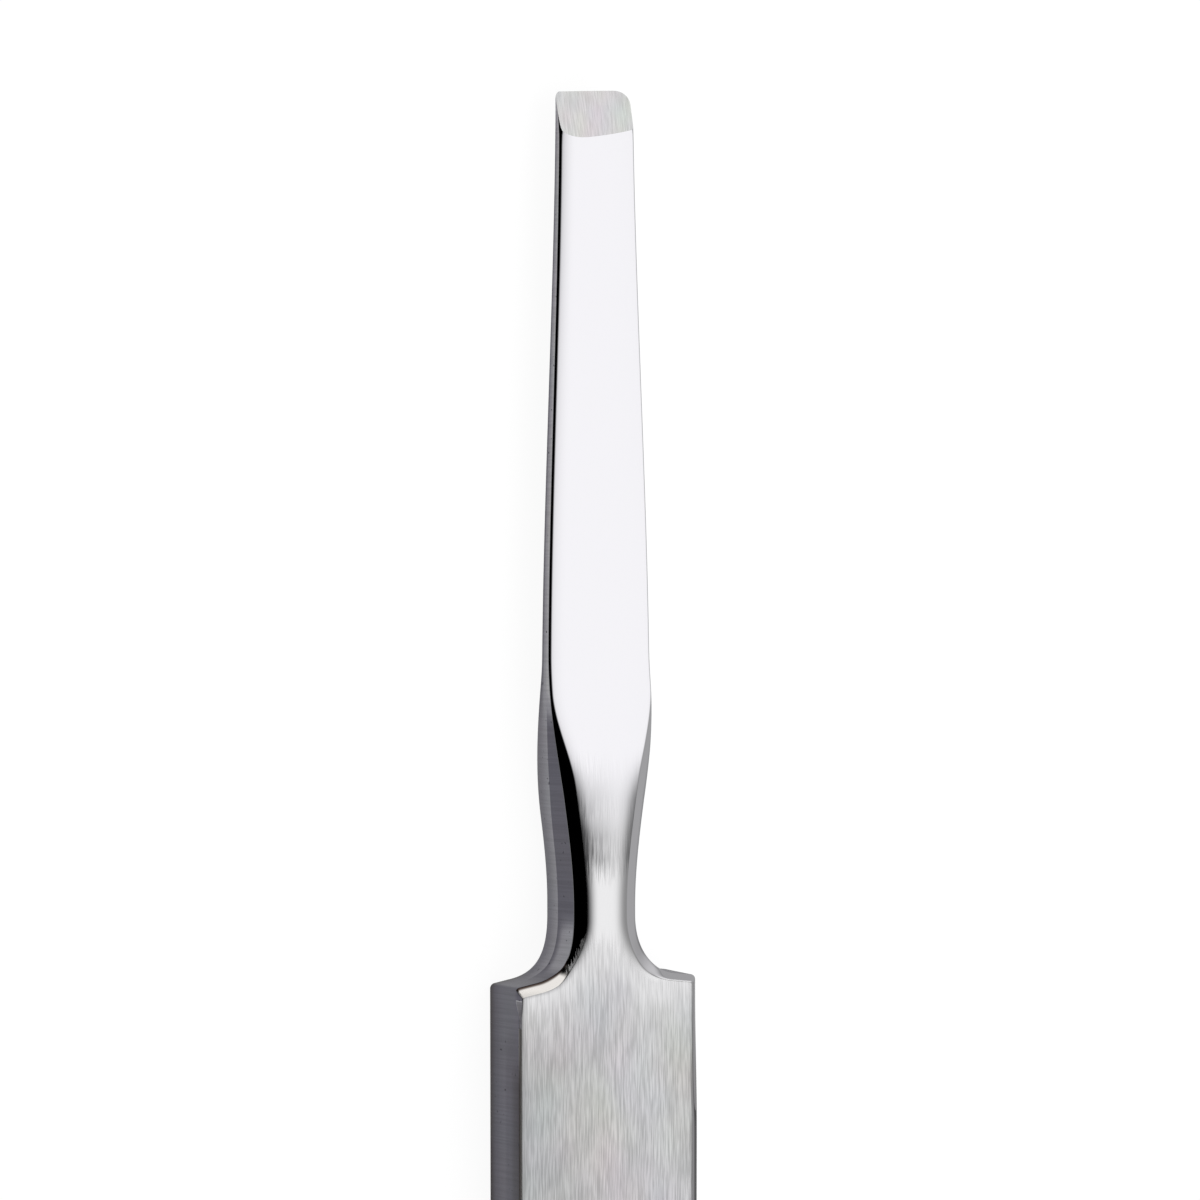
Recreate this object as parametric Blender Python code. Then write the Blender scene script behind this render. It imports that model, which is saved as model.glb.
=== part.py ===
"""Podiatry chisel: a flat steel bar handle, two shoulders with hollow arcs, a
crowned neck, and a slim blade that ends in a single bevel at the cutting edge.

The chisel is one forged and ground piece of steel. It lies on its back: X runs
across the width, Y runs along the length towards the cutting edge, and Z rises
out of the front face. Lengths along the tool are counted from the cutting edge
as a distance s, which grows towards the end of the handle.
"""

from math import cos, pi, radians, sin, sqrt, tan

import bmesh
import bpy
from mathutils import Vector

MM = 0.001

# Whole tool
TOTAL_LENGTH = 140.0 * MM
HANDLE_WIDTH = 10.10 * MM
HANDLE_THICKNESS = 3.65 * MM

# Plan of the blade and the neck, as half widths at the edge line. Both stand a
# little left of the handle's middle.
EDGE_HALF_WIDTH = 2.01 * MM
ROOT_HALF_WIDTH = 2.80 * MM
WAIST_HALF_WIDTH = 1.74 * MM
ROOT_FROM_EDGE = 29.8 * MM
WAIST_FROM_EDGE = 41.0 * MM
TAPER_EASING = 0.8
OFF_CENTRE = 0.07 * MM

# Rounded corners of the cutting edge: along the tool, and across it
EDGE_CORNER_LEFT = 0.40 * MM
EDGE_CORNER_LEFT_ACROSS = 0.20 * MM
EDGE_CORNER_RIGHT = 0.70 * MM
EDGE_CORNER_RIGHT_ACROSS = 0.82 * MM

# Near the cutting edge the left edge line rolls off: how much wider and deeper
# the facet gets, and over which length
ROLL_WIDTH = 0.24 * MM
ROLL_DROP = 0.34 * MM
ROLL_LENGTH = 2.40 * MM

# Shoulders: where their outer corners stand, how far they slope outwards and
# how large the hollow arc beside the neck is. They are ground by hand, and the
# right one has the fuller arc. The edge line leads the back line a little.
SHOULDER_FROM_EDGE = 45.0 * MM
SHOULDER_LEAD_LEFT = 0.26 * MM
SHOULDER_LEAD_RIGHT = 0.20 * MM
SHOULDER_SLOPE = radians(9.0)
ARC_WIDTH = 2.10 * MM
ARC_LENGTH = 3.15 * MM
ARC_PULL_LEFT = 0.74
ARC_PULL_RIGHT = 0.56
ARC_PULL_SHOULDER = 0.54
SHOULDER_CORNER = 0.26 * MM

# Side view: height of the blade's back above the handle's back, and how deep
# the middle of the front lies below the handle's front
BLADE_BACK_HEIGHT = 1.62 * MM
BACK_SWEEP_START = 28.2 * MM
BACK_SWEEP_END = 36.6 * MM
CREST_DEPTH_TIP = 1.40 * MM
CREST_DEPTH_ROOT = 1.07 * MM
CREST_DEPTH_NECK = 0.11 * MM
FRONT_SWEEP_START = 29.0 * MM
FRONT_SWEEP_END = 35.4 * MM

# Facet between the edge line and the front face: its width seen from the front.
# Its drop is the tilt's on the blade and the neck. Round the arc both change, and
# they are given half way round and on the shoulder.
FACET_TILT = radians(25.0)
FACET_WIDTH_BLADE_LEFT = 0.13 * MM
FACET_WIDTH_BLADE_RIGHT = 0.04 * MM
FACET_WIDTH_NECK = 0.62 * MM
FACET_GROWS_FROM = 30.0 * MM
FACET_GROWS_TO = 34.6 * MM
FACET_WIDTH_ARC_LEFT = 0.34 * MM
FACET_WIDTH_ARC_RIGHT = 0.62 * MM
FACET_DROP_ARC_LEFT = 0.26 * MM
FACET_DROP_ARC_RIGHT = 0.38 * MM
FACET_WIDTH_SHOULDER_LEFT = 0.45 * MM
FACET_WIDTH_SHOULDER_RIGHT = 0.33 * MM
FACET_DROP_SHOULDER_LEFT = 0.46 * MM
FACET_DROP_SHOULDER_RIGHT = 0.45 * MM
ARC_MIDDLE_AT_LEFT = 0.48
ARC_MIDDLE_AT_RIGHT = 0.50
ARC_SETTLED_AT_LEFT = 0.78
ARC_SETTLED_AT_RIGHT = 1.0

# Crown of the front face: its rise above the facets
CROWN_BLADE_LEFT = 0.12 * MM
CROWN_BLADE_RIGHT = 0.02 * MM
CROWN_NECK = 0.14 * MM
CROWN_HANDLE = 0.07 * MM
CROWN_GROWS_FROM = 32.6 * MM
CROWN_GROWS_TO = 35.8 * MM
CROWN_REACH = 0.97
CROWN_FLATNESS = 3

# Ridge along the middle of each side of the neck
RIDGE_OUT = 0.17 * MM
RIDGE_HEIGHT_SHARE = 0.50
RIDGE_GROWS_FROM = 28.0 * MM
RIDGE_GROWS_TO = 34.0 * MM

# Softened long edges of the handle's front
HANDLE_SOFT_LEFT = 0.08 * MM
HANDLE_SOFT_RIGHT = 0.40 * MM
HANDLE_SOFT_DEPTH_LEFT = 0.08 * MM
HANDLE_SOFT_DEPTH_RIGHT = 0.22 * MM
SOFT_SETTLES_OVER = 1.70 * MM
FRONT_CORNER_SHARE = 0.6

# Far end of the handle
END_CORNER = 1.20 * MM

# Bevel ground on the front of the cutting edge
BEVEL_ANGLE = radians(15.0)
EDGE_LAND = 0.06 * MM
BEVEL_LEAN = 0.027
POINTS_JOIN_WITHIN = 0.006 * MM

# How finely the round stretches are divided
ROLL_STEPS = 4
BLADE_STEPS = 9
SWEEP_STEPS = 20
ARC_STEPS = 10
CORNER_STEPS = 4
SETTLE_STEPS = 4
EDGE_CORNER_STEPS = 6
END_CORNER_STEPS = 5
CROWN_STEPS = 5

STEEL = (0.62, 0.62, 0.63, 1.0)
STEEL_ROUGHNESS = 0.28
SHARP_FROM = radians(9.0)


def ease(value, start, end):
    """0 before start and 1 after end, with a smooth S between the two."""
    t = min(max((value - start) / (end - start), 0.0), 1.0)
    return t * t * (3.0 - 2.0 * t)


def between(a, b, share):
    return a + (b - a) * share


def clear_scene():
    for obj in list(bpy.data.objects):
        bpy.data.objects.remove(obj, do_unlink=True)


class Side:
    """The values that differ between the two sides, ground as they are by hand."""


def left_side():
    side = Side()
    side.sign = -1
    side.corner_along, side.corner_across = EDGE_CORNER_LEFT, EDGE_CORNER_LEFT_ACROSS
    side.lead, side.pull = SHOULDER_LEAD_LEFT, ARC_PULL_LEFT
    side.facet_blade, side.crown_blade = FACET_WIDTH_BLADE_LEFT, CROWN_BLADE_LEFT
    side.roll_width, side.roll_drop = ROLL_WIDTH, ROLL_DROP
    side.facet_arc, side.drop_arc = FACET_WIDTH_ARC_LEFT, FACET_DROP_ARC_LEFT
    side.facet_shoulder, side.drop_shoulder = FACET_WIDTH_SHOULDER_LEFT, FACET_DROP_SHOULDER_LEFT
    side.middle_at, side.settled_at = ARC_MIDDLE_AT_LEFT, ARC_SETTLED_AT_LEFT
    side.soft, side.soft_depth = HANDLE_SOFT_LEFT, HANDLE_SOFT_DEPTH_LEFT
    return side


def right_side():
    side = Side()
    side.sign = 1
    side.corner_along, side.corner_across = EDGE_CORNER_RIGHT, EDGE_CORNER_RIGHT_ACROSS
    side.lead, side.pull = SHOULDER_LEAD_RIGHT, ARC_PULL_RIGHT
    side.facet_blade, side.crown_blade = FACET_WIDTH_BLADE_RIGHT, CROWN_BLADE_RIGHT
    side.roll_width, side.roll_drop = 0.0, 0.0
    side.facet_arc, side.drop_arc = FACET_WIDTH_ARC_RIGHT, FACET_DROP_ARC_RIGHT
    side.facet_shoulder, side.drop_shoulder = FACET_WIDTH_SHOULDER_RIGHT, FACET_DROP_SHOULDER_RIGHT
    side.middle_at, side.settled_at = ARC_MIDDLE_AT_RIGHT, ARC_SETTLED_AT_RIGHT
    side.soft, side.soft_depth = HANDLE_SOFT_RIGHT, HANDLE_SOFT_DEPTH_RIGHT
    return side


# Shape along the blade and the neck, each a function of the distance s


def half_width(s):
    blade = between(EDGE_HALF_WIDTH, ROOT_HALF_WIDTH, blade_share(s))
    return between(blade, WAIST_HALF_WIDTH, ease(s, ROOT_FROM_EDGE, WAIST_FROM_EDGE))


def blade_share(s):
    """How far the blade has widened: near a straight taper, easing at both ends."""
    t = min(s / ROOT_FROM_EDGE, 1.0)
    return between(t, ease(s, 0.0, ROOT_FROM_EDGE), TAPER_EASING)


def corner_loss(s, along, across):
    """What a rounded corner of the cutting edge takes off the half width."""
    inside = max(1.0 - s / along, 0.0)
    return across * (1.0 - sqrt(1.0 - inside * inside))


def back_height(s):
    return BLADE_BACK_HEIGHT * (1.0 - ease(s, BACK_SWEEP_START, BACK_SWEEP_END))


def crest_depth(s):
    t = min(s / FRONT_SWEEP_START, 1.0)
    blade = between(CREST_DEPTH_TIP, CREST_DEPTH_ROOT, t)
    return between(blade, CREST_DEPTH_NECK, ease(s, FRONT_SWEEP_START, FRONT_SWEEP_END))


def rolled(s):
    """How far the left edge is rolled off: 1 at the cutting edge, 0 beyond the roll."""
    return 1.0 - ease(s, 0.0, ROLL_LENGTH)


def facet_width(s, side):
    grown = ease(s, FACET_GROWS_FROM, FACET_GROWS_TO)
    width = between(side.facet_blade, FACET_WIDTH_NECK, grown)
    return width + side.roll_width * rolled(s)


def facet_drop(s, side):
    straight = facet_width(s, side) - side.roll_width * rolled(s)
    return straight * tan(FACET_TILT) + side.roll_drop * rolled(s)


def crown_rise(s, side):
    return between(side.crown_blade, CROWN_NECK, ease(s, CROWN_GROWS_FROM, CROWN_GROWS_TO))


def ridge_out(s):
    return RIDGE_OUT * ease(s, RIDGE_GROWS_FROM, RIDGE_GROWS_TO)


# Stations. A station is one place along the outline. The blade and the neck
# share plain distances. The arc, the shoulder, its corner and the handle follow
# the outline of each line, so that its points match from line to line.


def steps(start, end, count):
    """count values after start, the last one at end."""
    return [between(start, end, (i + 1) / count) for i in range(count)]


def straight_stations():
    """Distances s from the cutting edge to the start of the hollow arc."""
    values = [
        EDGE_CORNER_RIGHT * (1.0 - cos(pi / 2 * i / EDGE_CORNER_STEPS))
        for i in range(EDGE_CORNER_STEPS + 1)
    ]
    values += steps(EDGE_CORNER_RIGHT, ROLL_LENGTH, ROLL_STEPS)
    values += steps(ROLL_LENGTH, BACK_SWEEP_START, BLADE_STEPS)
    values += steps(BACK_SWEEP_START, arc_start(), SWEEP_STEPS)
    return values


def arc_start():
    rise = (HANDLE_WIDTH / 2 - WAIST_HALF_WIDTH - ARC_WIDTH) * tan(SHOULDER_SLOPE)
    return SHOULDER_FROM_EDGE - SHOULDER_LEAD_LEFT - rise - ARC_LENGTH


def arc_points(x_neck, x_corner, s_corner, pull):
    """The hollow arc from the neck to the shoulder, as (x, s), without its start."""
    x_end = x_neck + ARC_WIDTH
    s_end = s_corner - (x_corner - x_end) * tan(SHOULDER_SLOPE)
    start = Vector((x_neck, s_end - ARC_LENGTH))
    end = Vector((x_end, s_end))
    pull_neck = start + Vector((0.0, ARC_LENGTH * pull))
    along = Vector((1.0, tan(SHOULDER_SLOPE)))
    pull_shoulder = end - along * ARC_WIDTH * ARC_PULL_SHOULDER
    points = []
    for i in range(1, ARC_STEPS + 1):
        t = i / ARC_STEPS
        u = 1.0 - t
        point = start * u ** 3 + pull_neck * 3 * u * u * t
        point += pull_shoulder * 3 * u * t * t + end * t ** 3
        points.append((point.x, point.y))
    return points


def corner_points(x_corner, s_corner, radius):
    """The rounded outer corner of a shoulder, from its slope down to the side."""
    reach = radius * tan((pi / 2 - SHOULDER_SLOPE) / 2)
    centre_s = s_corner + reach
    points = []
    for i in range(CORNER_STEPS + 1):
        angle = between(pi / 2 - SHOULDER_SLOPE, 0.0, i / CORNER_STEPS)
        points.append((x_corner - radius + radius * cos(angle), centre_s - radius * sin(angle)))
    return points


def handle_points(x_side, s_corner, s_end, corner):
    """Down the side of the handle and round its far corner."""
    points = [(x_side, s) for s in steps(s_corner, s_corner + SOFT_SETTLES_OVER, SETTLE_STEPS)]
    for i in range(END_CORNER_STEPS + 1):
        angle = pi / 2 * i / END_CORNER_STEPS
        points.append((x_side - corner * (1.0 - cos(angle)), s_end - corner * (1.0 - sin(angle))))
    return points


def outline(widths, s_corner, pull):
    """One line round half of the plan: (x, s) from the cutting edge to the end."""
    side = HANDLE_WIDTH / 2
    points = list(zip(widths, straight_stations()))
    points += arc_points(widths[-1], side, s_corner, pull)
    points += corner_points(side, s_corner, SHOULDER_CORNER)
    points += handle_points(side, SHOULDER_FROM_EDGE + SHOULDER_CORNER, TOTAL_LENGTH, END_CORNER)
    return points


def inset(points, k, width):
    """The point at width inwards from points[k], square to the line there."""
    before, here, after = (Vector(points[i]) for i in (k - 1, k, k + 1))
    along = (after - before).normalized()
    inwards = Vector((-along.y, along.x))
    moved = here + inwards * width
    return (moved.x, moved.y)


def along_arc(t, neck, arc, shoulder, side):
    """A facet value round the arc: at the neck, half way round and on the shoulder."""
    first = between(neck, arc, ease(t, 0.0, side.middle_at))
    return between(first, shoulder, ease(t, side.middle_at, side.settled_at))


def front_line(edge, side):
    """The line where the front face begins, inside the edge line."""
    first = len(straight_stations())
    points = [(x - facet_width(s, side), s) for x, s in edge[:first]]
    for i, t in enumerate(steps(0.0, 1.0, ARC_STEPS)):
        width = along_arc(t, FACET_WIDTH_NECK, side.facet_arc, side.facet_shoulder, side)
        points.append(inset(edge, first + i, width))
    x_side = HANDLE_WIDTH / 2 - side.soft
    lower = side.facet_shoulder / cos(SHOULDER_SLOPE) - side.soft * tan(SHOULDER_SLOPE)
    s_corner = SHOULDER_FROM_EDGE - side.lead + lower
    points += corner_points(x_side, s_corner, SHOULDER_CORNER * FRONT_CORNER_SHARE)
    s_handle = SHOULDER_FROM_EDGE + SHOULDER_CORNER
    points += handle_points(x_side, s_handle, TOTAL_LENGTH, END_CORNER - side.soft)
    return points


def plan_lines(side):
    """The back, ridge, edge and front lines of one side, each as (x, s) points."""
    widths = []
    for s in straight_stations():
        loss = corner_loss(s, side.corner_along, side.corner_across)
        widths.append(half_width(s) - loss - side.sign * OFF_CENTRE)
    ridge_widths = [x + ridge_out(s) for x, s in zip(widths, straight_stations())]
    edge = outline(widths, SHOULDER_FROM_EDGE - side.lead, side.pull)
    return {
        "back": outline(widths, SHOULDER_FROM_EDGE, side.pull),
        "ridge": outline(ridge_widths, SHOULDER_FROM_EDGE - RIDGE_OUT, side.pull),
        "edge": edge,
        "front": front_line(edge, side),
    }


def heights(side):
    """The height of the back, edge and front lines at each station, and the crown's rise."""
    rows = []
    for s in straight_stations():
        crown = crown_rise(s, side)
        front = HANDLE_THICKNESS - crest_depth(s) - crown
        edge = front - facet_drop(s, side)
        rows.append((back_height(s), edge, front, crown))
    neck_front = rows[-1][2]
    neck_crest = HANDLE_THICKNESS - CREST_DEPTH_NECK
    bar_front = HANDLE_THICKNESS - CROWN_HANDLE
    neck_drop = FACET_WIDTH_NECK * tan(FACET_TILT)
    for t in steps(0.0, 1.0, ARC_STEPS):
        share = ease(t, 0.0, 1.0)
        front = between(neck_front, bar_front, share)
        crest = between(neck_crest, HANDLE_THICKNESS, share)
        drop = along_arc(t, neck_drop, side.drop_arc, side.drop_shoulder, side)
        rows.append((0.0, front - drop, front, crest - front))
    drops = [side.drop_shoulder] * (CORNER_STEPS + 1)
    for share in steps(0.0, 1.0, SETTLE_STEPS):
        drops.append(between(side.drop_shoulder, side.soft_depth, ease(share, 0.0, 1.0)))
    drops += [side.soft_depth] * (END_CORNER_STEPS + 1)
    rows += [(0.0, bar_front - drop, bar_front, CROWN_HANDLE) for drop in drops]
    return rows


# Solid


def point(x, s, z):
    return Vector((x, TOTAL_LENGTH / 2 - s, z))


def half_section(k, side, lines, rows):
    """The points of station k on one side, from the back line to the crest."""
    back, edge, front, crown = rows[k]
    ridge = between(back, edge, RIDGE_HEIGHT_SHARE)
    points = []
    for name, height in (("back", back), ("ridge", ridge), ("edge", edge)):
        x, s = lines[name][k]
        points.append(point(side.sign * x, s, height))
    x_front, s_front = lines["front"][k]
    for i in range(CROWN_STEPS + 1):
        share = i / CROWN_STEPS
        rise = crown * (1.0 - (1.0 - share) ** CROWN_FLATNESS)
        x = x_front * (1.0 - CROWN_REACH * share)
        points.append(point(side.sign * x, s_front, front + rise))
    return points


def loft():
    left, right = left_side(), right_side()
    left_lines, right_lines = plan_lines(left), plan_lines(right)
    left_rows, right_rows = heights(left), heights(right)
    mesh = bmesh.new()
    rings = []
    for k in range(len(left_rows)):
        ring = half_section(k, left, left_lines, left_rows)
        ring += half_section(k, right, right_lines, right_rows)[::-1]
        rings.append([mesh.verts.new(p) for p in ring])
    for one, other in zip(rings, rings[1:]):
        for i in range(len(one)):
            j = (i + 1) % len(one)
            mesh.faces.new((one[i], one[j], other[j], other[i]))
    mesh.faces.new(rings[0][::-1])
    mesh.faces.new(rings[-1])
    return mesh


def grind_bevel(mesh):
    """Cuts the front of the tip along the bevel plane and closes the cut."""
    on_edge = point(0.0, 0.0, BLADE_BACK_HEIGHT + EDGE_LAND)
    up_bevel = Vector((0.0, -cos(BEVEL_ANGLE), sin(BEVEL_ANGLE)))
    across = Vector((1.0, 0.0, BEVEL_LEAN))
    normal = across.cross(-up_bevel).normalized()
    everything = mesh.verts[:] + mesh.edges[:] + mesh.faces[:]
    cut = bmesh.ops.bisect_plane(
        mesh, geom=everything, dist=1e-8, plane_co=on_edge, plane_no=normal, clear_outer=True
    )
    rim = [item for item in cut["geom_cut"] if isinstance(item, bmesh.types.BMEdge)]
    bmesh.ops.contextual_create(mesh, geom=rim)
    bmesh.ops.remove_doubles(mesh, verts=mesh.verts[:], dist=POINTS_JOIN_WITHIN)


def steel():
    material = bpy.data.materials.new("steel")
    material.use_nodes = True
    shader = material.node_tree.nodes["Principled BSDF"]
    shader.inputs["Base Color"].default_value = STEEL
    shader.inputs["Metallic"].default_value = 1.0
    shader.inputs["Roughness"].default_value = STEEL_ROUGHNESS
    return material


def build():
    clear_scene()
    mesh = loft()
    grind_bevel(mesh)
    bmesh.ops.recalc_face_normals(mesh, faces=mesh.faces[:])
    data = bpy.data.meshes.new("chisel")
    mesh.to_mesh(data)
    mesh.free()
    data.shade_smooth()
    data.set_sharp_from_angle(angle=SHARP_FROM)
    data.materials.append(steel())
    chisel = bpy.data.objects.new("chisel", data)
    bpy.context.scene.collection.objects.link(chisel)


build()
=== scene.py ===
# %% [markdown]
# # A podiatry chisel on a white table
#
# The tool is one bar of stainless steel, forged and then ground by hand: a flat
# handle, two shoulders with hollow arcs, a crowned neck, and a slim blade that
# ends in a bevel. Almost everything that the eye sees of it is reflection, so
# this lesson spends its effort on three things: a mesh whose faces turn as
# smoothly as ground steel does, finishes that differ from face to face, and a
# studio whose bright and dark zones fall where polished steel should show them.
#
# The imported model is the fixed frame. It comes in first.

from math import cos, degrees, pi, radians, sin, sqrt, tan

import bmesh
import bpy
from mathutils import Matrix, Vector


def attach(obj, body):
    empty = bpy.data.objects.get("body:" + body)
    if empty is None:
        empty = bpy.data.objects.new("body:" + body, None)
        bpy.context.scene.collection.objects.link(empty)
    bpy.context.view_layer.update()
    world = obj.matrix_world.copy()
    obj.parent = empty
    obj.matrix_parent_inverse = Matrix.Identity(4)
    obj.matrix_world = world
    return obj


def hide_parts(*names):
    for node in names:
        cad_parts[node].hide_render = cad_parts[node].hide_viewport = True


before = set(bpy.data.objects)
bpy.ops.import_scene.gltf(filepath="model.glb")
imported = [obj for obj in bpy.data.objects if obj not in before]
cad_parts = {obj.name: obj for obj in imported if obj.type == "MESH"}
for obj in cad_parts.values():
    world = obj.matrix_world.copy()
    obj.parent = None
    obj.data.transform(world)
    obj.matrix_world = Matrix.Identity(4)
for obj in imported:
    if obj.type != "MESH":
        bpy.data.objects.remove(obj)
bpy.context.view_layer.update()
MM = 0.001

# %% [markdown]
# ## The lines of the tool
#
# A smith would scribe the outline on the bar and grind to it. The mesh is made
# the same way: a few lines run along the whole tool (the back line, a low ridge
# on the side, the edge line where the facet starts, and the front line where the
# facet ends), and every cross section hangs on them. The other way, cutting a
# block with Booleans, leaves long thin faces that polished steel shows at once.
#
# Distances along the tool are counted from the cutting edge and called s.

# %% Sizes of the whole tool, the blade and the neck
TOTAL_LENGTH = 140.0 * MM
HANDLE_WIDTH = 10.10 * MM
HANDLE_THICKNESS = 3.65 * MM
EDGE_HALF_WIDTH = 2.01 * MM
ROOT_HALF_WIDTH = 2.80 * MM
WAIST_HALF_WIDTH = 1.74 * MM
ROOT_FROM_EDGE = 29.8 * MM
WAIST_FROM_EDGE = 41.0 * MM
TAPER_EASING = 0.8
OFF_CENTRE = 0.07 * MM


def ease(value, start, end):
    """0 before start and 1 after end, with a smooth S between the two."""
    t = min(max((value - start) / (end - start), 0.0), 1.0)
    return t * t * (3.0 - 2.0 * t)


def between(a, b, share):
    return a + (b - a) * share


def half_width(s):
    t = min(s / ROOT_FROM_EDGE, 1.0)
    widening = between(t, ease(s, 0.0, ROOT_FROM_EDGE), TAPER_EASING)
    blade = between(EDGE_HALF_WIDTH, ROOT_HALF_WIDTH, widening)
    return between(blade, WAIST_HALF_WIDTH, ease(s, ROOT_FROM_EDGE, WAIST_FROM_EDGE))


print("widest blade, mm:", round(2 * max(half_width(i * MM) for i in range(42)) / MM, 2))

# %% [markdown]
# Seen from the side, the blade's back rises off the table and its front dips
# below the handle's front, so the blade is thinner than the bar it is forged
# from. Both sweeps are smooth, with no corner where the blade begins.

# %% Heights along the blade and the neck
BLADE_BACK_HEIGHT = 1.62 * MM
BACK_SWEEP = (28.2 * MM, 36.6 * MM)
CREST_DEPTH_TIP = 1.40 * MM
CREST_DEPTH_ROOT = 1.07 * MM
CREST_DEPTH_NECK = 0.11 * MM
FRONT_SWEEP = (28.0 * MM, 35.4 * MM)
FACET_TILT = radians(25.0)
FACET_NECK = 0.62 * MM
FACET_GROWTH = (30.0 * MM, 34.6 * MM)
CROWN_GROWTH = (32.6 * MM, 35.8 * MM)
RIDGE_OUT = 0.17 * MM
RIDGE_GROWTH = (28.0 * MM, 34.0 * MM)
RIDGE_SHARE_ROOT = 0.74
RIDGE_SHARE_NECK = 0.52
RIDGE_SETTLES = (30.0 * MM, 38.0 * MM)


def back_height(s):
    return BLADE_BACK_HEIGHT * (1.0 - ease(s, *BACK_SWEEP))


def crest_depth(s):
    blade = between(CREST_DEPTH_TIP, CREST_DEPTH_ROOT, min(s / ROOT_FROM_EDGE, 1.0))
    return between(blade, CREST_DEPTH_NECK, ease(s, *FRONT_SWEEP))


def facet_width(s, side):
    return between(side["facet_blade"], FACET_NECK, ease(s, *FACET_GROWTH))


def crown_rise(s, side):
    return between(side["crown_blade"], side["crown_neck"], ease(s, *CROWN_GROWTH))


def ridge_share(s):
    return between(RIDGE_SHARE_ROOT, RIDGE_SHARE_NECK, ease(s, *RIDGE_SETTLES))


print("blade thickness at the root, mm:",
      round((HANDLE_THICKNESS - crest_depth(BACK_SWEEP[0]) - back_height(BACK_SWEEP[0])) / MM, 2))

# %% [markdown]
# The two sides are ground by eye, so they differ: the right shoulder has the
# fuller arc, and the left one carries a broad, near 45 degree facet. Each side
# therefore has its own set of values. A facet is given by its width, seen from
# the front, and by its drop, from the front line down to the edge line. Along
# the arc both change, and they are named at three places: where the arc leaves
# the neck (which is the neck's own facet), half way round, and on the shoulder.
#
# Two more things were left by the grinder's hand. Near the cutting edge the edge
# lines roll off. Below the shoulders each long edge of the handle settles from the
# facet to its own soft edge: within a millimetre on the left, slower on the right.

# %% Values that differ between the left and the right side
SHOULDER_FROM_EDGE = 45.0 * MM
SHOULDER_SLOPE = radians(9.0)
SHOULDER_CORNER = 0.26 * MM
FRONT_CORNER_SHARE = 0.6
ARC_WIDTH = 2.10 * MM
ARC_LENGTH = 3.15 * MM
ARC_PULL_SHOULDER = 0.54

LEFT = {
    "sign": -1, "tip_corner": (0.40 * MM, 0.20 * MM), "lead": 0.26 * MM, "arc_pull": 0.74,
    "facet_mid": 0.34 * MM, "drop_mid": 0.26 * MM, "mid_at": 0.48, "settled_at": 0.78,
    "facet_shoulder": 0.45 * MM, "drop_shoulder": 0.46 * MM,
    "facet_blade": 0.13 * MM, "crown_blade": 0.12 * MM, "crown_neck": 0.14 * MM,
    "flatness": 3.0,
    "roll_width": 0.24 * MM, "roll_drop": 0.34 * MM, "edge_round": 0.05 * MM,
    "soft": 0.13 * MM, "soft_drop": 0.09 * MM, "soft_corner": 0.18 * MM,
    "settles_over": 1.0 * MM, "front_round": 0.05 * MM,
}
RIGHT = {
    "sign": 1, "tip_corner": (0.70 * MM, 0.82 * MM), "lead": 0.20 * MM, "arc_pull": 0.56,
    "facet_mid": 0.62 * MM, "drop_mid": 0.38 * MM, "mid_at": 0.50, "settled_at": 1.0,
    "facet_shoulder": 0.33 * MM, "drop_shoulder": 0.45 * MM,
    "facet_blade": 0.04 * MM, "crown_blade": 0.02 * MM, "crown_neck": 0.165 * MM,
    "flatness": 2.5,
    "roll_width": 0.20 * MM, "roll_drop": 0.11 * MM, "edge_round": 0.045 * MM,
    "soft": 0.38 * MM, "soft_drop": 0.22 * MM, "soft_corner": 0.33 * MM,
    "settles_over": 7.5 * MM, "front_round": 0.20 * MM,
}
SETTLE_REACH = 8.0 * MM
SETTLE_CROWDING = 1.6
ROLL_LENGTH = 2.40 * MM
END_CORNER = 1.20 * MM
END_ROUND = 0.15 * MM
print("the sides differ in:", ", ".join(name for name in LEFT if LEFT[name] != RIGHT[name]))

# %% [markdown]
# ## Stations
#
# A station is one place along the outline. On the blade and the neck all lines
# share the same distance s. Round the arc, the shoulder and its corner each line
# follows its own outline, point by point, so that the faces between two lines
# stay square to the edge instead of shearing.

# %% Stations along the outline
CORNER_COUNT = 12
BLADE_COUNT = 56
SWEEP_COUNT = 96
ARC_COUNT = 56
SLOPE_COUNT = 8
ROUND_COUNT = 10
SETTLE_COUNT = 26
BAR_COUNT = 24
END_COUNT = 12


def steps(start, end, count):
    """count values after start, the last one at end."""
    return [between(start, end, (i + 1) / count) for i in range(count)]


def arc_start():
    rise = (HANDLE_WIDTH / 2 - WAIST_HALF_WIDTH - ARC_WIDTH) * tan(SHOULDER_SLOPE)
    return SHOULDER_FROM_EDGE - LEFT["lead"] - rise - ARC_LENGTH


def straight_stations():
    corner = RIGHT["tip_corner"][0]
    values = [corner * (1.0 - cos(pi / 2 * i / CORNER_COUNT)) for i in range(CORNER_COUNT + 1)]
    values += steps(corner, BACK_SWEEP[0], BLADE_COUNT)
    values += steps(BACK_SWEEP[0], arc_start(), SWEEP_COUNT)
    return values


STRAIGHT = straight_stations()
ARC_SHARES = steps(0.0, 1.0, ARC_COUNT)
print("stations on blade and neck:", len(STRAIGHT))


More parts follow.
